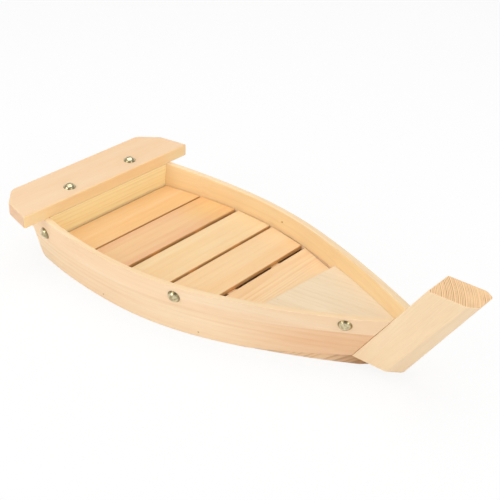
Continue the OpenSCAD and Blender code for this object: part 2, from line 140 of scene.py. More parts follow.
def mix_colour(tree, share, a, b, blend="MIX"):
    """The wire that holds colour a with a share of colour b blended in."""
    mixed = add(tree, "ShaderNodeMix", data_type="RGBA", blend_type=blend)
    for socket, value in ((mixed.inputs["Factor"], share), (mixed.inputs[6], a), (mixed.inputs[7], b)):
        if isinstance(value, bpy.types.NodeSocket):
            tree.links.new(value, socket)
        else:
            socket.default_value = value
    return mixed.outputs[2]


def vector_math(tree, operation, a, b):
    """The same as math_node, for two vectors."""
    return add(tree, "ShaderNodeVectorMath", {0: a, 1: b}, operation=operation).outputs[0]


def stretched_noise(tree, place, along, across, detail=2.0):
    """Noise drawn out along the grain: so many changes a metre along it and across it."""
    scaled = vector_math(tree, "MULTIPLY", place, (along, across, across))
    noise = add(tree, "ShaderNodeTexNoise", {"Vector": scaled, "Scale": 1.0, "Detail": detail})
    return noise.outputs["Fac"]


def new_material(name):
    """An empty material, and its node tree."""
    made = bpy.data.materials.new(name)
    made.use_nodes = True
    made.node_tree.nodes.clear()
    return made, made.node_tree


print("helpers ready")

# %% [markdown]
# ## Studio
# The boat stands on a white sweep. The floor is a plain white surface that also glows to the camera and to
# shiny things, so the background comes out white while the boat's own soft shadow stays on it.
# The world is a white horizon with a dimmer room above, and three wide soft lamps do the lighting.
# Wide lamps are chosen because the photograph has no hard shadow anywhere.

# %% Floor
FLOOR_SIZE = 60
FLOOR_GLOW = 0.85

floor_mesh = bpy.data.meshes.new("floor")
bm = bmesh.new()
bmesh.ops.create_grid(bm, x_segments=1, y_segments=1, size=FLOOR_SIZE / 2)
bm.to_mesh(floor_mesh)
bm.free()
floor = bpy.data.objects.new("floor", floor_mesh)
bpy.context.scene.collection.objects.link(floor)

sweep, tree = new_material("white sweep")
path = add(tree, "ShaderNodeLightPath")
seen = math_node(tree, "MAXIMUM", path.outputs["Is Camera Ray"], path.outputs["Is Glossy Ray"])
seen = math_node(tree, "MAXIMUM", seen, path.outputs["Is Transmission Ray"])
matt = add(tree, "ShaderNodeBsdfDiffuse", {"Color": paint("#F7F7F7")})
glow = add(tree, "ShaderNodeEmission", {"Color": (1, 1, 1, 1), "Strength": 1.0})
both = add(tree, "ShaderNodeMixShader", {0: math_node(tree, "MULTIPLY", seen, FLOOR_GLOW),
                                         1: matt.outputs[0], 2: glow.outputs[0]})
add(tree, "ShaderNodeOutputMaterial", {"Surface": both.outputs[0]})
floor_mesh.materials.append(sweep)
print("floor", FLOOR_SIZE, "m wide")

# %% World and lamps
HORIZON_TOP = 0.27
HORIZON_FADE = 0.12
ROOM_LEVEL = 0.35
# Each lamp has a name, a place, a point that it faces, a width in metres and a power in watts
LAMPS = [
    ("overhead", (-0.2, 0.1, 1.3), (0, 0, 0), 1.5, 10.5),
    ("side", (-0.5, -1.5, 0.9), (0, 0, 0.03), 1.0, 8.3),
    ("bow", (1.5, -0.2, 0.8), (0, 0, 0.03), 1.0, 7.5),
]

world = bpy.data.worlds.new("studio")
world.use_nodes = True
tree = world.node_tree
tree.nodes.clear()
direction = add(tree, "ShaderNodeSeparateXYZ", {0: add(tree, "ShaderNodeTexCoord").outputs["Generated"]})
level = ramp(tree, direction.outputs["Z"], HORIZON_TOP, HORIZON_TOP + HORIZON_FADE, 1.0, ROOM_LEVEL)
sky = add(tree, "ShaderNodeBackground", {"Color": (1, 1, 1, 1), "Strength": level})
add(tree, "ShaderNodeOutputWorld", {"Surface": sky.outputs[0]})
bpy.context.scene.world = world


def softbox(name, place, aim, width, watts):
    """A square lamp of that width, facing the point aim."""
    lamp = bpy.data.lights.new(name, "AREA")
    lamp.shape = "SQUARE"
    lamp.size = width
    lamp.energy = watts
    holder = bpy.data.objects.new(name, lamp)
    holder.location = place
    holder.rotation_euler = (Vector(place) - Vector(aim)).to_track_quat("Z", "Y").to_euler()
    bpy.context.scene.collection.objects.link(holder)


for lamp_settings in LAMPS:
    softbox(*lamp_settings)

# %% [markdown]
# ## Grain
# Softwood shows its yearly rings: wide pale wood, then a thin darker line. In a log the rings are nested
# tubes, so a point's ring is its distance from the log's heart, divided by the ring's width. Cutting a board
# out of that gives long lines on its faces and arcs on its ends, all matching, which no flat picture of wood
# could do. The group below works that out once. It reads a place whose X runs along the grain, and each piece
# gives its own heart, ring width and tones. Noise drawn out along the grain adds streaks and fibres. Each
# kind of noise is set by how many times it changes in a metre along the grain, and across it.

# %% Grain settings
# Changes in a metre along the grain and across it
DRIFT = (7, 16, 16)
SPOTS = (9, 70)
BROAD = (4, 45)
STREAK = (9, 210)
FIBRE = (60, 1500)
# How much of the tone is broad, and how quickly and by how much the years differ in width
BROAD_SHARE = 0.7
YEAR_PACE = 0.37
YEAR_SPREAD = 1.8
# When in a year the late wood starts, is at its darkest, and begins to end
LATE_START = 0.35
LATE_FULL = 0.88
LATE_END = 0.9
# The part of a noise that counts, from and to, and then what it is turned into
SPOT_SPAN = (0.25, 0.7, 0.2, 1.0)
TONE_SPAN = (0.36, 0.64)
FIBRE_SPAN = (0.35, 0.7)
ROUGH_SPAN = (0.3, 0.7, 0.52, 0.66)
GRAIN_HEIGHT = 0.5
GRAIN_INPUTS = [
    ("NodeSocketVector", "Place", (0, 0, 0)),
    ("NodeSocketVector", "Heart", (0, 0, 0)),
    ("NodeSocketFloat", "Ring Width", 0.003),
    ("NodeSocketFloat", "Wander", 0.003),
    ("NodeSocketColor", "Pale", (1, 1, 1, 1)),
    ("NodeSocketColor", "Warm", (1, 1, 1, 1)),
    ("NodeSocketColor", "Line", (1, 1, 1, 1)),
    ("NodeSocketFloat", "Streaks", 0.6),
    ("NodeSocketFloat", "Lines", 0.4),
    ("NodeSocketFloat", "Late Start", LATE_START),
    ("NodeSocketFloat", "Fibres", 0.06),
]
GRAIN_OUTPUTS = [
    ("NodeSocketColor", "Color"),
    ("NodeSocketFloat", "Height"),
    ("NodeSocketFloat", "Roughness"),
]
print("grain group inputs:", len(GRAIN_INPUTS), "outputs:", len(GRAIN_OUTPUTS))

# %% Grain group
def ring_age(tree, given):
    """How many years out from the heart a place is, on a log that wasn't quite straight."""
    place = given["Place"]
    slow = vector_math(tree, "MULTIPLY", place, DRIFT)
    drift = add(tree, "ShaderNodeTexNoise", {"Vector": slow, "Scale": 1.0, "Detail": 1.0})
    centred = vector_math(tree, "SUBTRACT", drift.outputs["Color"], (0.5, 0.5, 0.5))
    shift = add(tree, "ShaderNodeVectorMath", {0: centred, "Scale": given["Wander"]}, operation="SCALE")
    wandering = vector_math(tree, "ADD", place, shift.outputs[0])
    from_heart = vector_math(tree, "SUBTRACT", wandering, given["Heart"])
    flat = vector_math(tree, "MULTIPLY", from_heart, (0, 1, 1))
    radius = add(tree, "ShaderNodeVectorMath", {0: flat}, operation="LENGTH").outputs["Value"]
    rings = math_node(tree, "DIVIDE", radius, given["Ring Width"])
    years = add(tree, "ShaderNodeTexNoise", {"W": math_node(tree, "MULTIPLY", rings, YEAR_PACE),
                                             "Scale": 1.0, "Detail": 1.0}, noise_dimensions="1D")
    return math_node(tree, "ADD", rings, math_node(tree, "MULTIPLY", years.outputs["Fac"], YEAR_SPREAD))


def make_grain_group():
    """The node group that turns a place in a log into colour, height and roughness."""
    tree = bpy.data.node_groups.new("timber grain", "ShaderNodeTree")
    for kind, name, value in GRAIN_INPUTS:
        tree.interface.new_socket(name=name, in_out="INPUT", socket_type=kind).default_value = value
    for kind, name in GRAIN_OUTPUTS:
        tree.interface.new_socket(name=name, in_out="OUTPUT", socket_type=kind)
    given = add(tree, "NodeGroupInput").outputs
    place = given["Place"]

    # The dark late wood of each year fades in slowly and ends sharply, and is stronger in some spots
    year = math_node(tree, "FRACT", ring_age(tree, given))
    rise = ramp(tree, year, given["Late Start"], LATE_FULL)
    late = math_node(tree, "MULTIPLY", rise, ramp(tree, year, LATE_END, 1.0, 1.0, 0.0))
    spots = ramp(tree, stretched_noise(tree, place, *SPOTS), *SPOT_SPAN)
    late = math_node(tree, "MULTIPLY", late, spots)

    # Broad tones, streaks and fibres
    broad = stretched_noise(tree, place, *BROAD)
    streak = stretched_noise(tree, place, *STREAK, detail=3.0)
    fibre = stretched_noise(tree, place, *FIBRE)
    tone = math_node(tree, "MULTIPLY", broad, BROAD_SHARE)
    tone = math_node(tree, "ADD", tone, math_node(tree, "MULTIPLY", streak, 1 - BROAD_SHARE))
    tone = math_node(tree, "MULTIPLY", ramp(tree, tone, *TONE_SPAN), given["Streaks"])
    colour = mix_colour(tree, tone, given["Pale"], given["Warm"])
    colour = mix_colour(tree, math_node(tree, "MULTIPLY", late, given["Lines"]), colour, given["Line"])
    depth = math_node(tree, "MULTIPLY", ramp(tree, fibre, *FIBRE_SPAN), given["Fibres"])
    colour = mix_colour(tree, depth, colour, given["Line"], "MULTIPLY")

    height = math_node(tree, "MULTIPLY", math_node(tree, "SUBTRACT", late, fibre), GRAIN_HEIGHT)
    rough = ramp(tree, streak, *ROUGH_SPAN)
    add(tree, "NodeGroupOutput", {"Color": colour, "Height": height, "Roughness": rough})
    return tree


grain_group = make_grain_group()
print("grain group nodes:", len(grain_group.nodes))

# %% [markdown]
# ## Timbers
# Every board of the boat came from another part of a log, and the photograph shows it: the deck is orange,
# pink and straw side by side. So each piece has its own material with its own tones, but all share the grain
# group. A Mapping node turns the piece so that its grain lies along X and its middle is at zero, and a seed
# moves it along the log by so many metres, so that no two boards show the same figure.
# Some boards change tone from one end to the other, as when a plank runs from the edge of a log towards its
# heart, and a fade also paints shade on the bottom board and the lower planks towards the bow. A little light
# also goes into pale wood and comes out nearby, so narrow gaps stay brown, not black.

# %% Timber material
ALONG_X = (0.0, 0.0, 0.0)
ALONG_Y = (0.0, 0.0, -math.pi / 2)
GLOW_DEPTH = 1.5 * MM
BUMP_STRENGTH = 0.25
BUMP_DEPTH = 0.25 * MM
# What a wood has unless it says otherwise. Hearts, rings and wander are in mm, other numbers are shares.
# A fade is an axis, a tint, and the places in mm where it starts and where it is full.
PLAIN = dict(wander=3, streaks=0.7, end_lines=0.8, end_start=LATE_START, fibres=0.08, fades=(), glow=0.0)


def timber(name, place, wood, ends=False):
    """A timber's material. place(tree) gives the wire with X along the grain; ends asks for a cut end."""
    wood = {**PLAIN, **wood}
    made, tree = new_material(name)
    grain = add(tree, "ShaderNodeGroup", node_tree=grain_group)
    tree.links.new(place(tree), grain.inputs["Place"])
    settings = {
        "Heart": [c * MM for c in wood["heart"]], "Ring Width": wood["ring"] * MM,
        "Wander": wood["wander"] * MM, "Line": paint(wood["line"]),
        "Pale": paint(wood["end" if ends else "pale"]), "Warm": paint(wood["end" if ends else "warm"]),
        "Streaks": wood["streaks"], "Lines": wood["end_lines" if ends else "lines"],
        "Late Start": wood["end_start"] if ends else LATE_START, "Fibres": wood["fibres"]}
    for socket, value in settings.items():
        grain.inputs[socket].default_value = value
    colour = grain.outputs["Color"]
    for axis, tint, start, end in wood["fades"]:
        here = add(tree, "ShaderNodeSeparateXYZ", {0: add(tree, "ShaderNodeTexCoord").outputs["Object"]})
        share = ramp(tree, here.outputs[axis], start * MM, end * MM)
        colour = mix_colour(tree, share, colour, paint(tint), "MULTIPLY")
    bump = add(tree, "ShaderNodeBump", {"Height": grain.outputs["Height"], "Strength": BUMP_STRENGTH,
                                        "Distance": BUMP_DEPTH})
    shader = add(tree, "ShaderNodeBsdfPrincipled", {
        "Base Color": colour, "Roughness": grain.outputs["Roughness"], "Normal": bump.outputs[0],
        "Specular IOR Level": 0.3, "Subsurface Weight": wood["glow"],
        "Subsurface Radius": (1.0, 0.6, 0.35), "Subsurface Scale": GLOW_DEPTH})
    add(tree, "ShaderNodeOutputMaterial", {"Surface": shader.outputs[0]})
    return made


print("timber material ready, with", len(PLAIN), "values that a wood may leave out")

# %% Places in the log
def board_place(node, turn, seed):
    """Wire-maker for a flat board: Object coordinates, X turned along the grain and the middle at zero."""
    low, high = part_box(node)
    middle = Euler(turn).to_matrix() @ ((low + high) / 2)

    def place(tree):
        here = add(tree, "ShaderNodeTexCoord").outputs["Object"]
        mapping = add(tree, "ShaderNodeMapping", {"Vector": here, "Rotation": turn,
                                                  "Location": (seed - middle.x, -middle.y, -middle.z)})
        return mapping.outputs[0]
    return place


def plank_place(seed):
    """Wire-maker for a bent plank: its own lengthwise coordinates, kept in the attribute named plank."""
    def place(tree):
        here = add(tree, "ShaderNodeAttribute", attribute_name="plank").outputs["Vector"]
        return vector_math(tree, "ADD", here, (seed, 0, 0))
    return place


print("places ready for flat boards and for bent planks")

# %% [markdown]
# ## Dressing a board
# The CAD model's boards are dead sharp. Real ones are sanded, and the thin light line along an edge is what
# tells the eye that a board is solid wood. A copy of the CAD mesh is merged, because it arrives as loose
# triangles, its flat faces are joined, and its long sharp edges are rounded with the bevel operator. Short
# edges are left out: they belong to the nail holes. The copy stands for the CAD node, which stays true to
# size underneath.

# %% Edges
SHARP = math.radians(30)
SMOOTH = math.radians(40)
SHORT_EDGE = 0.5 * MM
TOUCHING = 0.005 * MM
SLIVER = 0.002 * MM
EDGE_REACH = 2 * MM
NEARLY = 0.9
MOSTLY = 0.75
FINE = 5
ALONG = Vector((1, 0, 0))
ACROSS = Vector((0, 1, 0))


def merged_copy(node, join_angle=0.3):
    """The CAD node's mesh in a bmesh, merged, with triangles that lie flat to so many degrees joined."""
    bm = bmesh.new()
    bm.from_mesh(frame["nodes"][node].data)
    bmesh.ops.remove_doubles(bm, verts=bm.verts[:], dist=TOUCHING)
    bmesh.ops.dissolve_limit(bm, angle_limit=math.radians(join_angle), verts=bm.verts[:], edges=bm.edges[:])
    return bm


def sharp_edges(bm, wanted=None, shortest=SHORT_EDGE):
    """Long edges where two faces meet at an angle, all of them or those that wanted(edge) picks."""
    found = [e for e in bm.edges if len(e.link_faces) == 2 and e.calc_face_angle() > SHARP
             and e.calc_length() > shortest]
    return [e for e in found if wanted is None or wanted(e)]


def direction_of(edge):
    """Which way an edge runs, as a vector of length one."""
    return (edge.verts[1].co - edge.verts[0].co).normalized()


def borders_top(edge):
    """Whether an edge belongs to a face that looks up."""
    return any(face.normal.z > NEARLY for face in edge.link_faces)


def ease(bm, edges, radius, segments=3):
    """Rounds edges off."""
    bmesh.ops.bevel(bm, geom=edges, offset=radius, offset_type="OFFSET", segments=segments, profile=0.5,
                    affect="EDGES", clamp_overlap=False, material=-1)


print("edges that turn more than", round(math.degrees(SHARP)), "degrees are eased")

# %% Finished pieces
def cut_ends(axis):
    """Picks the second material for faces that cut across the grain."""
    return lambda face: int(abs(face.normal.dot(axis)) > MOSTLY)


def finish_piece(bm, name, node, slot, materials, pick=None):
    """Makes the object, rounds its shading, gives each face its material, and hands it to the frame."""
    bmesh.ops.remove_doubles(bm, verts=bm.verts[:], dist=SLIVER)
    bmesh.ops.dissolve_degenerate(bm, dist=SLIVER, edges=bm.edges[:])
    for face in bm.faces:
        face.smooth = True
        face.material_index = pick(face) if pick else 0
    mesh = bpy.data.meshes.new(name)
    bm.to_mesh(mesh)
    bm.free()
    for material in materials:
        mesh.materials.append(material)
    mesh.set_sharp_from_angle(angle=SMOOTH)
    piece = bpy.data.objects.new(name, mesh)
    bpy.context.scene.collection.objects.link(piece)
    even = piece.modifiers.new("even shading", "WEIGHTED_NORMAL")
    even.keep_sharp = True
    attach(piece, frame["nodes"][node]["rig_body"])
    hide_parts(node)
    low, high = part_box(node)
    beyond = max(max(low[i] - v.co[i], v.co[i] - high[i]) for v in mesh.vertices for i in range(3))
    print(name, "faces", len(mesh.polygons), "beyond its node by mm", round(beyond / MM, 3))
    return piece


print("ready to finish pieces, with faces that turn less than",
      round(math.degrees(SMOOTH)), "degrees shaded smooth")

# %% [markdown]
# ## Deck slats
# Five thin boards lie across the boat. Their grain runs from side to side. The first is orange and plain, the
# second pink with broad streaks and golden at its far end, the third and fourth straw, the fifth pale with
# lines that close up towards its front, because its log's heart lay below its rear half.
# They are flat boards, so dressing the CAD copies is all the shaping that they need.
# Their sawn long edges are browner than their planed faces, partly their own tone and partly painted shade
# for the gaps, where they show.

# %% Slats
SLATS = {
    "deck_slat_1": dict(pale="#F4CC96", warm="#F0BF80", line="#DDA463", end="#E3B27C", heart=(0, 160, -30),
                        ring=7.0, lines=0.14, streaks=0.7),
    "deck_slat_2": dict(pale="#F2CB98", warm="#EDBC8F", line="#DCA070", end="#E0AF80", heart=(0, 90, -40),
                        ring=9.0, lines=0.14, streaks=1.0, fades=[("Y", "#FFFBE3", 20, 60)]),
    "deck_slat_3": dict(pale="#F6D8A9", warm="#F2CC96", line="#DDAA70", end="#E2B685", heart=(0, 140, -20),
                        ring=8.0, lines=0.1, streaks=0.7),
    "deck_slat_4": dict(pale="#F6D4A5", warm="#F3C993", line="#DBA66A", end="#E2B685", heart=(0, -150, -30),
                        ring=6.0, lines=0.12, streaks=0.7),
    "deck_slat_5": dict(pale="#F8D7A9", warm="#F4C895", line="#D99A5C", end="#E0AF80", heart=(0, 16, -34),
                        ring=1.3, lines=0.28, streaks=0.8),
}
# The sawn edges: a browner tone, with painted shade for the gaps between the slats
SLAT_SAWN_EDGE_SHADE = dict(pale="#E6B87E", warm="#DCA869", fades=[])
SLAT_GLOW = 0.1
SLAT_ROUND = 0.9 * MM
SLAT_EASE = 0.15 * MM
SLAT_SEED = 1.7
SQUARE_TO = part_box("deck_slat_1")[0].x + EDGE_REACH


def is_long_top(edge):
    """The long upper edges of the slats, rounded over except for the one that lies against the transom."""
    rounded = edge.verts[0].co.x > SQUARE_TO
    return rounded and abs(direction_of(edge).dot(ACROSS)) > NEARLY and borders_top(edge)


def slat_pick(face):
    """Picks the sawn edges along a slat, browner as tone and as painted gap shade, then its cut ends, else
    its planed faces.
    """
    return 2 if abs(face.normal.x) > MOSTLY else cut_ends(ACROSS)(face)


for number, (node, tones) in enumerate(SLATS.items()):
    wood = dict(tones, glow=SLAT_GLOW)
    place = board_place(node, ALONG_Y, SLAT_SEED * number)
    bm = merged_copy(node)
    ease(bm, sharp_edges(bm, is_long_top), SLAT_ROUND, FINE)
    ease(bm, sharp_edges(bm), SLAT_EASE)
    finish_piece(bm, f"slat_board_{number + 1}", node, "deck_plank",
                 [timber(f"slat timber {number + 1}", place, wood),
                  timber(f"slat end {number + 1}", place, wood, ends=True),
                  timber(f"slat sawn edge shade {number + 1}", place, {**wood, **SLAT_SAWN_EDGE_SHADE})], slat_pick)

# %% [markdown]
# ## Battens
# Two rails under the slats tie them into one grate that lifts out. Pieces of them show through the wider
# gaps. New boxes could stand for them, but the CAD rails already have their ends trimmed to the planking
# and their nail holes, so copies of them are dressed like the slats, with their grain along the boat.

# %% Battens
BATTEN = dict(pale="#F2CFA0", warm="#EBBE8A", line="#CE9A66", end="#D9AA78", heart=(0, 40, -70), ring=2.4,
              lines=0.3, glow=0.2)
BATTEN_EASE = 0.6 * MM
BATTEN_SEED = 11
for number, node in enumerate(("deck_batten_port", "deck_batten_starboard")):
    place = board_place(node, ALONG_X, BATTEN_SEED + number)
    bm = merged_copy(node)
    ease(bm, sharp_edges(bm), BATTEN_EASE)
    finish_piece(bm, node.replace("deck_batten", "batten_rail"), node, "base_timber",
                 [timber(f"batten timber {number + 1}", place, BATTEN),
                  timber(f"batten end {number + 1}", place, BATTEN, ends=True)], cut_ends(ALONG))

# %% [markdown]
# ## Stern board
# The palest piece, almost without figure, with its upper edges rounded over and a golden front edge, painted
# lighter and more golden as painted bounce light from the deck.
# One bevel all round would be simpler, but the upper edges are softer than the rest, so they go first, with
# a larger radius, and the bevel that follows finds only the edges that are still sharp.
# The front lower edge stays sharp, because there the board sits flush on the transom and no joint shows.
# Its corners are arcs of short facets, so only the still shorter edges of the tack holes are left out.

# %% Stern board
STERN_WOOD = dict(pale="#F2D4AF", warm="#F1CBA1", line="#E6B88A", end="#E9C3A0", heart=(0, 60, -220),
                  ring=9.0, lines=0.06, streaks=0.8, end_lines=0.3, glow=0.12)
# The face towards the bow, painted lighter and more golden as painted bounce light
STERN_FRONT_LIT = dict(STERN_WOOD, pale="#F8DBA9", warm="#F6D29E")
HOLE_EDGE = 0.2 * MM
STERN_ROUND = 1.3 * MM
STERN_EASE = 0.5 * MM
STERN_SEED = 21
FRONTWARD = 0.6
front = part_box("stern_board")[1].x


def at_front(edge):
    """Whether an edge lies at the board's front face."""
    return all(front - v.co.x < EDGE_REACH for v in edge.verts)


def under_front(edge):
    """Whether an edge is the long lower one of the front face."""
    return at_front(edge) and not borders_top(edge) and abs(direction_of(edge).dot(ACROSS)) > NEARLY


def front_or_end(face):
    """Picks the third material for the face towards the bow, the second for cut ends, else the first."""
    return 2 if face.normal.x > FRONTWARD else cut_ends(ACROSS)(face)


def rounded_over(edge):
    """The edges of the upper face and the two upright corners of the front."""
    upright = abs(direction_of(edge).z) > NEARLY and at_front(edge)
    return borders_top(edge) or upright


bm = merged_copy("stern_board")
ease(bm, sharp_edges(bm, rounded_over, HOLE_EDGE), STERN_ROUND, FINE)
ease(bm, sharp_edges(bm, lambda edge: not under_front(edge), HOLE_EDGE), STERN_EASE)
place = board_place("stern_board", ALONG_Y, STERN_SEED)
finish_piece(bm, "stern_seat", "stern_board", "stern_plank",
             [timber("stern board timber", place, STERN_WOOD),
              timber("stern board end", place, STERN_WOOD, ends=True),
              timber("stern board front lit", place, STERN_FRONT_LIT)], front_or_end)

# %% [markdown]
# ## Transom
# The block that closes the stern. Its inner face is painted yellow and lighter as painted bounce light, with
# fine lines, and its back is paler.
# A mask in one material could tell them apart, but each face already knows which way it looks, so the
# faces are sorted by that and take a material each.
# Its upper edges are hidden under the stern board and stay sharp.

# %% Transom
SEAT = 45 * MM
TRANSOM_EASE = 0.4 * MM
TRANSOM_SEED = 22
TRANSOM_WOOD = dict(pale="#F4DCB2", warm="#F0D09F", line="#D9AE74", end="#E0B47C", heart=(0, 30, -163),
                    ring=5.2, lines=0.5, streaks=0.6, glow=0.12)
# The inner face, painted yellow and lighter as painted bounce light
TRANSOM_INSIDE_LIT = dict(TRANSOM_WOOD, pale="#FDEBB8", warm="#FAE0A4", line="#DDB06C", ring=3.6, lines=0.28)


def below_seat(edge):
    """Leaves out the edges where the transom meets the stern board."""
    return min(v.co.z for v in edge.verts) < SEAT


bm = merged_copy("transom")
ease(bm, sharp_edges(bm, below_seat), TRANSOM_EASE)
place = board_place("transom", ALONG_Y, TRANSOM_SEED)
finish_piece(bm, "transom_block", "transom", "transom_timber",
             [timber("transom timber", place, TRANSOM_WOOD),
              timber("transom end", place, TRANSOM_WOOD, ends=True),
              timber("transom inside lit", place, TRANSOM_INSIDE_LIT)], front_or_end)

# %% [markdown]
# ## Bow deck, bulkhead and bottom
# The bow deck is greyer than the rest, with fine wavy lines towards the stem. The bulkhead under its rear
# edge and the bottom board are plain, because they are hardly seen. The bottom board darkens to its tip as
# painted shade under the bow.
# All three are eased in the same way, so one loop dresses them from a table, instead of a cell for each.

# %% Boards
BOARD_SEED = 23.3
BOARD_STEP = 1.3
# Each node has its piece, slot, grain direction, edge radius in mm and wood
BOARDS = {
    "bow_deck": ("bow_deck_board", "bow_plank", ALONG_X, 0.4,
                 dict(pale="#F1DBBB", warm="#EAD0AA", line="#CDB189", end="#E0C49A", heart=(0, 80, -25),
                      ring=4.6, lines=0.17, streaks=0.7, wander=14)),
    "bow_bulkhead": ("bulkhead_board", "base_timber", ALONG_Y, 0.5,
                     dict(pale="#F0CFA4", warm="#E8BE8C", line="#CE9C68", end="#DDB080", heart=(0, 40, -120),
                          ring=3.4, lines=0.3)),
    # The bottom board's fade is painted shade, darker towards its tip under the bow
    "bottom_board": ("bottom_plank", "base_timber", ALONG_X, 0.5,
                     dict(pale="#EED0AA", warm="#E3BE95", line="#9C7046", end="#D2A576", heart=(0, 50, -60),
                          ring=2.8, lines=0.45, fades=[("X", "#C2A68E", 85, 130)])),
}
for number, (node, (name, slot, turn, radius, wood)) in enumerate(BOARDS.items()):
    place = board_place(node, turn, BOARD_SEED + BOARD_STEP * number)
    bm = merged_copy(node)
    ease(bm, sharp_edges(bm), radius * MM)
    finish_piece(bm, name, node, slot, [timber(f"{name} timber", place, wood),
                                        timber(f"{name} end", place, wood, ends=True)],
                 cut_ends(ALONG if turn == ALONG_X else ACROSS))

# %% [markdown]
# ## Stem
# The stem is a thick post that leans forward and narrows a little on its way down. It is cut level on top, so
# its end grain shows: close lines, each a year. Its front edges were shaved to long chamfers, painted a
# little darker than the planed sides as painted shade, since they look forward and down, and are rounded over
# more than its other edges. The chamfers themselves are in the CAD shape. Their edges turn less than a square
# corner does, and that is how they are found.

# %% Stem
RAKE = math.radians(35.5)
STEM_AXIS = Vector((math.sin(RAKE), 0, math.cos(RAKE)))
STEM_FRONT = Vector((math.cos(RAKE), 0, -math.sin(RAKE)))
STEM_TURN = (0.0, math.pi / 2 - RAKE, 0.0)
STEM_WOOD = dict(pale="#F4DAB4", warm="#F1D2A8", line="#955A28", end="#F5CE9E", heart=(0, -83, 137),
                 ring=0.95, lines=0.03, streaks=0.5, end_lines=0.95, end_start=0.6, wander=1.0, fibres=0.05)
# The shaved faces look forward and down, and are painted darker as painted shade
STEM_SHAVED_SHADED = dict(STEM_WOOD, pale="#EED5B3", warm="#EACDA8")
STEM_ROUND = 1.8 * MM
STEM_EASE = 0.6 * MM
STEM_SEED = 31
CHAMFER_BEND = math.radians(75)
ALONG_STEM = 0.99
SHAVED_FROM = 0.35


def is_shaved(edge):
    """The long edges at the front of the stem, on either side of its chamfers."""
    return abs(direction_of(edge).dot(STEM_AXIS)) > ALONG_STEM and edge.calc_face_angle() < CHAMFER_BEND


def stem_pick(face):
    """Picks the shaved faces at the front, painted darker as shade, then the cut ends, else the sides and the
    back.
    """
    return 2 if face.normal.dot(STEM_FRONT) > SHAVED_FROM else cut_ends(STEM_AXIS)(face)


bm = merged_copy("stem")
ease(bm, sharp_edges(bm, is_shaved), STEM_ROUND, FINE)
ease(bm, sharp_edges(bm), STEM_EASE)
place = board_place("stem", STEM_TURN, STEM_SEED)
finish_piece(bm, "stem_post", "stem", "stem_timber",
             [timber("stem timber", place, STEM_WOOD), timber("stem end", place, STEM_WOOD, ends=True),
              timber("stem shaved shade", place, STEM_SHAVED_SHADED)], stem_pick)

# %% [markdown]
# ## Strakes
# The planks of the sides were bent round the boat, and the grain bent with them. Object coordinates run
# straight on, so they would cut across the bend. Each plank instead carries its own coordinates in an
# attribute named plank: how far along the bend a point is, how deep below the outer face, and how high.
# The upper planks are painted golden inside, as painted bounce light from the deck, and creamy along the rim,
# so these faces have their own tones.

# %% Plank woods
UPPER = dict(pale="#F8DEBC", warm="#F5D2AA", line="#DDB083", end="#E6BD90", heart=(0, 60, -90), ring=5.0,
             lines=0.14, streaks=0.8, fades=[("X", "#F8F8F8", -20, 60)])
# The lower planks darken and turn pinker towards the bow, partly in tone and partly as painted shade
LOWER = dict(pale="#F6DEBB", warm="#F2D0A8", line="#D9A878", end="#DFB084", heart=(0, 50, -80), ring=4.4,
             lines=0.18, streaks=0.8, fades=[("X", "#F4E4DA", 0, 100)])
# The inner faces of the upper planks, painted golden as painted bounce light
UPPER_INSIDE_LIT = dict(UPPER, pale="#F8DEAE", warm="#F6D39C", fades=[])
RIM_WOOD = dict(UPPER, pale="#F8DFB7", warm="#F6D5A8")
# Each strake has its slot, edge radius in mm, and woods outside, inside and on the rim
STRAKES = {
    "upper_strake": ("upper_plank", 0.7, UPPER, UPPER_INSIDE_LIT, RIM_WOOD),
    "lower_strake": ("lower_plank", 0.5, LOWER, LOWER, LOWER),
}
print("strakes to dress:", list(STRAKES))

# %% Coordinates along a plank
STATION = 6 * MM


def lay_along(mesh):
    """Writes the attribute plank: length along the bend, depth below the outer face, height."""
    outer = {}
    for vertex in mesh.vertices:
        key = round(vertex.co.x / STATION)
        outer[key] = max(outer.get(key, 0.0), abs(vertex.co.y))
    keys = sorted(outer)
    length = {keys[0]: 0.0}
    for before, after in zip(keys, keys[1:]):
        step = math.hypot((after - before) * STATION, outer[after] - outer[before])
        length[after] = length[before] + step
    plank = mesh.attributes.new("plank", "FLOAT_VECTOR", "POINT")
    for vertex in mesh.vertices:
        x = vertex.co.x / STATION
        key = max((k for k in keys if k <= x), default=keys[0])
        after = min((k for k in keys if k > key), default=key)
        share = (x - key) / (after - key) if after > key else 0.0
        along = length[key] + share * (length[after] - length[key])
        depth = abs(vertex.co.y) - (outer[key] + share * (outer[after] - outer[key]))
        plank.data[vertex.index].vector = (along, depth, vertex.co.z)


print("plank lengths are measured every", round(STATION / MM), "mm")

# %% Strakes
BENT_JOIN = 0.05
PLANK_SEED = 66
SIDE_STEP = 1.2
RIM_FROM = 0.7
INSIDE_FROM = 0.5


def strake_pick(sign):
    """Outer faces, then cut ends, inner faces and rims. sign is 1 to port and -1 to starboard."""
    def pick(face):
        if face.normal.z > RIM_FROM:
            return 3
        return 2 if face.normal.y * sign < -INSIDE_FROM else cut_ends(ALONG)(face)
    return pick


for strake, (slot, radius, outside, inside, rim) in STRAKES.items():
    for side, sign in (("port", 1), ("starboard", -1)):
        node = f"{strake}_{side}"
        name = f"{strake.replace('strake', 'plank')}_{side}"
        place = plank_place(PLANK_SEED - SIDE_STEP * sign)
        bm = merged_copy(node, BENT_JOIN)
        ease(bm, sharp_edges(bm), radius * MM)
        finishes = [timber(f"{name} timber", place, outside), timber(f"{name} end", place, outside, True),
                    timber(f"{name} inside", place, inside), timber(f"{name} rim", place, rim)]
        piece = finish_piece(bm, name, node, slot, finishes, strake_pick(sign))
        lay_along(piece.data)

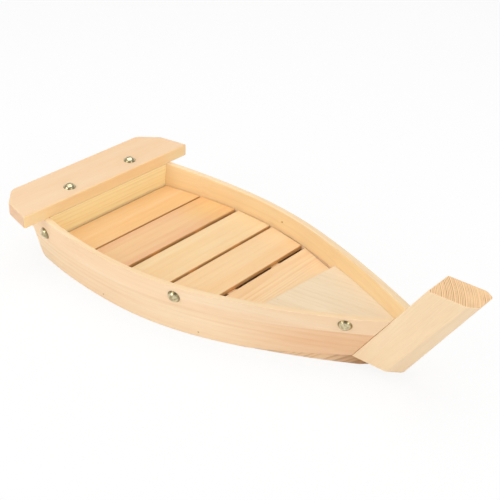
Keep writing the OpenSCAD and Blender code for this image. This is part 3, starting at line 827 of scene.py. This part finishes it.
# %% [markdown]
# ## Tacks
# Domed brass upholstery tacks hold the planks and the stern board. A tack is round about its shank, so half
# of its outline is drawn once and spun. The head has a rolled rim, with painted shade and dark reflection
# towards it. The attribute named dome says how far out from the middle a point of the head is, so that the
# painted shade can follow it. A ray cast at the plank finds the seat and the direction of each tack, so heads
# lie flat on the bent wood. The middle tacks go right through the plank and are cut off flush inside it.

# %% Brass
CLOUDS = 420.0
SPECKS = 2600.0
WORN_SPAN = (0.42, 0.66)
# Where on the dome the painted shade darkens the head towards its rim
RIM_SHADE_SPAN = (0.68, 0.98, 0.0, 0.8)
POLISH_SPAN = (0.3, 0.7, 0.16, 0.3)


def brass_finish(name, clean, worn, edge):
    """Polished brass with cloudy worn spots, and painted shade darker towards the edge of the head."""
    made, tree = new_material(name)
    here = add(tree, "ShaderNodeTexCoord").outputs["Object"]
    cloud = add(tree, "ShaderNodeTexNoise", {"Vector": here, "Scale": CLOUDS, "Detail": 4.0}).outputs["Fac"]
    speck = add(tree, "ShaderNodeTexNoise", {"Vector": here, "Scale": SPECKS, "Detail": 2.0}).outputs["Fac"]
    out_from_middle = add(tree, "ShaderNodeAttribute", attribute_name="dome").outputs["Fac"]
    metal = mix_colour(tree, ramp(tree, cloud, *WORN_SPAN), paint(clean), paint(worn))
    # Painted shade and dark reflection, darker towards the rim of the head
    metal = mix_colour(tree, ramp(tree, out_from_middle, *RIM_SHADE_SPAN), metal, paint(edge))
    dent = add(tree, "ShaderNodeBump", {"Height": speck, "Strength": 0.15, "Distance": 0.1 * MM})
    shader = add(tree, "ShaderNodeBsdfPrincipled", {
        "Base Color": metal, "Metallic": 1.0, "Normal": dent.outputs[0],
        "Roughness": ramp(tree, cloud, *POLISH_SPAN)})
    add(tree, "ShaderNodeOutputMaterial", {"Surface": shader.outputs[0]})
    return made


# Clean brass, worn brass, and the colour of the painted rim shade
side_brass = brass_finish("side tack brass", "#D6C9A5", "#AC9C75", "#82724C")
# The board's tacks face up and get a lighter copy of the brass, as painted light
board_brass_lit = brass_finish("board tack brass", "#E6DAB6", "#C2B28A", "#AC9C74")
print("brass finishes:", side_brass.name, "and", board_brass_lit.name)

# %% Tack shape
# Sizes in mm. POINTED and CUT_OFF say how wide the shank is at its tip, as a share of its width.
HEAD_RADIUS = 5.5
HEAD_HEIGHT = 3.6
RIM = 0.45
RIM_ROLL = 0.12
SHANK_RADIUS = 0.9
LONG_TAPER = 2.7
BLUNT_TAPER = 0.2
POINTED = 0.25
CUT_OFF = 0.9
DOME_STEPS = 10
SPIN_STEPS = 48


def tack_outline(shank, tip):
    """Half a tack's outline in mm, from the top of its dome to its tip: distance from the axis, height."""
    ball = (HEAD_RADIUS ** 2 + HEAD_HEIGHT ** 2) / (2 * HEAD_HEIGHT)
    turn = math.asin((HEAD_RADIUS - RIM) / ball) / DOME_STEPS
    dome = [(ball * math.sin(turn * i), HEAD_HEIGHT - ball * (1 - math.cos(turn * i)))
            for i in range(DOME_STEPS + 1)]
    inner = HEAD_RADIUS - RIM_ROLL
    rim = [(inner, RIM * 0.9), (HEAD_RADIUS, RIM * 0.5), (inner, 0.0)]
    taper = min(LONG_TAPER, shank / 2) if tip == POINTED else BLUNT_TAPER
    pin = [(SHANK_RADIUS, 0.0), (SHANK_RADIUS, taper - shank), (SHANK_RADIUS * tip, -shank), (0.0, -shank)]
    return dome + rim + pin


def add_tack(bm, seat, outward, shank, tip):
    """Spins one tack and sets it on its seat, with its head pointing outward."""
    share = bm.verts.layers.float.get("dome") or bm.verts.layers.float.new("dome")
    corners = [bm.verts.new((r * MM, 0, z * MM)) for r, z in tack_outline(shank, tip)]
    edges = [bm.edges.new(pair) for pair in zip(corners, corners[1:])]
    bmesh.ops.spin(bm, geom=corners + edges, cent=(0, 0, 0), axis=(0, 0, 1), angle=2 * math.pi,
                   steps=SPIN_STEPS, use_merge=True)
    made = [v for v in bm.verts if not v.tag]
    for vertex in made:
        vertex[share] = math.hypot(vertex.co.x, vertex.co.y) / (HEAD_RADIUS * MM)
        vertex.tag = True
    stand = Matrix.Translation(seat) @ Vector(outward).to_track_quat("Z", "Y").to_matrix().to_4x4()
    bmesh.ops.transform(bm, matrix=stand, verts=made)


print("a tack is spun in", SPIN_STEPS, "steps, with a head", 2 * HEAD_RADIUS, "mm wide")

# %% Set the tacks
FAR_OFF = 300
BESIDE_HOLE = 2
# Each tack in mm: x and z on a side, or x and y on the board, then its shank's length, then its tip
SIDE_TACKS = {
    "starboard": [(-170.9, 34.36, 13.6, POINTED), (-13.6, 37.23, 5.6, CUT_OFF), (114.6, 43.29, 4.2, POINTED)],
    "port": [(-170.9, 34.36, 13.6, POINTED), (-24.3, 37.2, 5.6, CUT_OFF), (114.6, 43.29, 4.2, POINTED)],
}
BOARD_TACKS = [(-177.86, -35.8, 19.0, POINTED), (-177.86, 35.8, 19.0, POINTED)]


def seat_on(node, start, towards):
    """Where rays on either side of a tack's hole meet a CAD node, and the way its face looks, averaged."""
    mesh = frame["nodes"][node].data
    faces = BVHTree.FromPolygons([v.co for v in mesh.vertices], [p.vertices for p in mesh.polygons])
    hits = [faces.ray_cast((Vector(start) + Vector((shift, 0, 0))) * MM, Vector(towards))
            for shift in (-BESIDE_HOLE, BESIDE_HOLE)]
    return (hits[0][0] + hits[1][0]) / 2, (hits[0][1] + hits[1][1]).normalized()


def finish_tacks(bm, name, node, brass):
    """Closes the spun tacks, turns their faces outward and finishes them as one piece."""
    bmesh.ops.remove_doubles(bm, verts=bm.verts[:], dist=SLIVER)
    bmesh.ops.recalc_face_normals(bm, faces=bm.faces[:])
    finish_piece(bm, name, node, "tack_brass", [brass])


for side, sign in (("port", 1), ("starboard", -1)):
    bm = bmesh.new()
    for x, z, shank, tip in SIDE_TACKS[side]:
        seat, outward = seat_on(f"upper_strake_{side}", (x, sign * FAR_OFF, z), (0, -sign, 0))
        add_tack(bm, seat, outward, shank, tip)
    finish_tacks(bm, f"side_tack_heads_{side}", f"side_tacks_{side}", side_brass)
bm = bmesh.new()
for x, y, shank, tip in BOARD_TACKS:
    seat, outward = seat_on("stern_board", (x, y, FAR_OFF), (0, 0, -1))
    add_tack(bm, seat, outward, shank, tip)
finish_tacks(bm, "board_tack_heads", "stern_board_tacks", board_brass_lit)

# %% [markdown]
# ## Nails and brads
# Small steel pins, sunk flush. Only their ends show, as brown dots on the planks and heads under the boat.
# Their CAD shapes are right as they are, so they only get a dull, slightly rusty steel. The two in the bow
# deck get a paler steel, as painted light, and hardly show.

# %% Steel
RUST_SPOTS = 900.0
RUST_SPAN = (0.4, 0.65)
SHEEN_SPAN = (*RUST_SPAN, 0.4, 0.1)
DULL_SPAN = (0.3, 0.7, 0.4, 0.7)


def steel_finish(name, clean, rusty):
    """Dull steel with spots of rust."""
    made, tree = new_material(name)
    here = add(tree, "ShaderNodeTexCoord").outputs["Object"]
    noise = {"Vector": here, "Scale": RUST_SPOTS, "Detail": 3.0}
    rust = add(tree, "ShaderNodeTexNoise", noise).outputs["Fac"]
    shader = add(tree, "ShaderNodeBsdfPrincipled", {
        "Base Color": mix_colour(tree, ramp(tree, rust, *RUST_SPAN), paint(clean), paint(rusty)),
        "Metallic": ramp(tree, rust, *SHEEN_SPAN),
        "Roughness": ramp(tree, rust, *DULL_SPAN)})
    add(tree, "ShaderNodeOutputMaterial", {"Surface": shader.outputs[0]})
    return made


dull = steel_finish("nail steel", "#C4AA88", "#A07C56")
# A paler copy of the steel for the bow deck's brads, as painted light
pale_lit_steel = steel_finish("bow brad steel", "#EBDDC6", "#DCC6A6")
PINS = {"slat_brads": dull, "strake_brads_port": dull, "strake_brads_starboard": dull,
        "bow_deck_brads": pale_lit_steel, "transom_nails": dull, "stem_nail": dull}
for node, steel in PINS.items():
    pin = frame["nodes"][node]
    pin.data.materials.clear()
    pin.data.materials.append(steel)
print("pins:", len(PINS))
